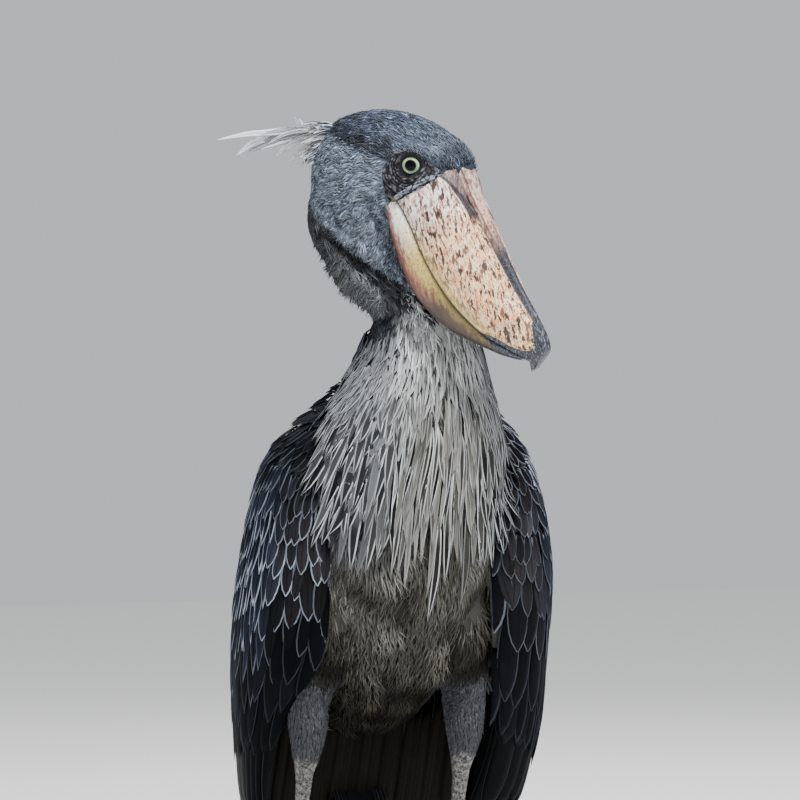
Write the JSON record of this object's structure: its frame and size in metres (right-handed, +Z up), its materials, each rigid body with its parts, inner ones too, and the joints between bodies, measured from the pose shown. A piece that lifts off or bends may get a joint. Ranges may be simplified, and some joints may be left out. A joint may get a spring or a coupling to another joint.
{
  "type": "shoebill",
  "caption": "Life-size standing shoebill, still model, head turned to its left and bill lowered, wings folded.",
  "frame": {"origin": "middle of the bounding box at floor level, under the bird between its feet and its tail", "axes": "+Z up, the bird's body faces -Y, its left side is +X"},
  "size_m": [0.3918, 0.4885, 1.0369],
  "materials": {
    "head_feathers": "matt short feathers, slate crown, grey-blue cheeks",
    "neck_feathers": "matt fine grey feathers",
    "body_feathers": "matt, long grey breast plumes with pale edges, shaggy belly",
    "wing_feathers": "matt to silky dark slate feathers with thin pale edges",
    "tail_feathers": "silky dark slate feathers",
    "thigh_feathers": "matt short pale grey feathers",
    "leg_scales": "dull black reticulate scales",
    "claws": "worn black horn",
    "bill_upper": "satin horn, pinkish cream with maroon streaks",
    "bill_lower": "satin horn, yellow to reddish, dark tip",
    "eyes": "wet, pale greenish iris, black pupil"
  },
  "bodies": {
    "root": {"head": "head_feathers", "neck": "neck_feathers", "torso": "body_feathers", "bill_upper": "bill_upper", "bill_lower": "bill_lower", "eye_left": "eyes", "eye_right": "eyes", "tail": "tail_feathers", "wing_left": "wing_feathers", "thigh_left": "thigh_feathers", "shank_left": "leg_scales", "toe_left_1": "leg_scales", "claw_left_1": "claws", "toe_left_2": "leg_scales", "claw_left_2": "claws", "toe_left_3": "leg_scales", "claw_left_3": "claws", "toe_left_4": "leg_scales", "claw_left_4": "claws", "wing_right": "wing_feathers", "thigh_right": "thigh_feathers", "shank_right": "leg_scales", "toe_right_1": "leg_scales", "claw_right_1": "claws", "toe_right_2": "leg_scales", "claw_right_2": "claws", "toe_right_3": "leg_scales", "claw_right_3": "claws", "toe_right_4": "leg_scales", "claw_right_4": "claws"}
  },
  "joints": []
}
